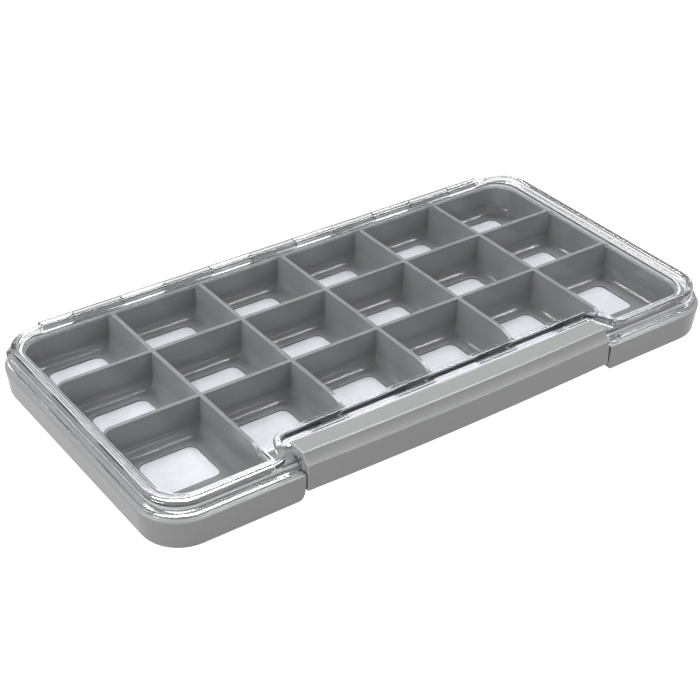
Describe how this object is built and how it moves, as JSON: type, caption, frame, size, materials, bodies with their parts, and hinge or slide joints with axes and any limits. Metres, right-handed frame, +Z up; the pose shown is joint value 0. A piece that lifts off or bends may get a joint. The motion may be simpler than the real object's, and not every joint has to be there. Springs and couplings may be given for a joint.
{
  "type": "fly box",
  "caption": "Slim rectangular compartment case with a clear hinged lid, a long front latch and small pads set in the compartment floors.",
  "frame": {"origin": "middle of the closed case's underside, on the surface that it rests on", "axes": "+X along the long side, towards the right when the latch faces the viewer; +Y towards the hinge; +Z up"},
  "size_m": [0.1968, 0.1018, 0.0159],
  "materials": {
    "tray": "fine satin moulded grey",
    "latch": "fine satin moulded grey",
    "clear_lid": "clear polished plastic",
    "pad": "smooth white facing",
    "seal": "translucent silicone",
    "pin": "drawn steel wire"
  },
  "bodies": {
    "tray": {"base": "tray", "hinge_pin": "pin", "seal": "seal", "pad_r1_c1": "pad", "pad_r1_c2": "pad", "pad_r1_c3": "pad", "pad_r1_c4": "pad", "pad_r1_c5": "pad", "pad_r1_c6": "pad", "pad_r2_c1": "pad", "pad_r2_c2": "pad", "pad_r2_c3": "pad", "pad_r2_c4": "pad", "pad_r2_c5": "pad", "pad_r2_c6": "pad", "pad_r3_c1": "pad", "pad_r3_c2": "pad", "pad_r3_c3": "pad", "pad_r3_c4": "pad", "pad_r3_c5": "pad", "pad_r3_c6": "pad"},
    "lid": {"lid": "clear_lid"},
    "latch": {"latch": "latch"}
  },
  "joints": [
    {"name": "lid_hinge", "type": "hinge", "parent": "tray", "child": "lid", "pos_m": [0, 0.0491, 0.01405], "axis": [-1, 0, 0], "range_deg": [0, 180]},
    {"name": "latch_hinge", "type": "hinge", "parent": "tray", "child": "latch", "pos_m": [0, -0.0482, 0.0054], "axis": [1, 0, 0], "range_deg": [0, 100]}
  ]
}
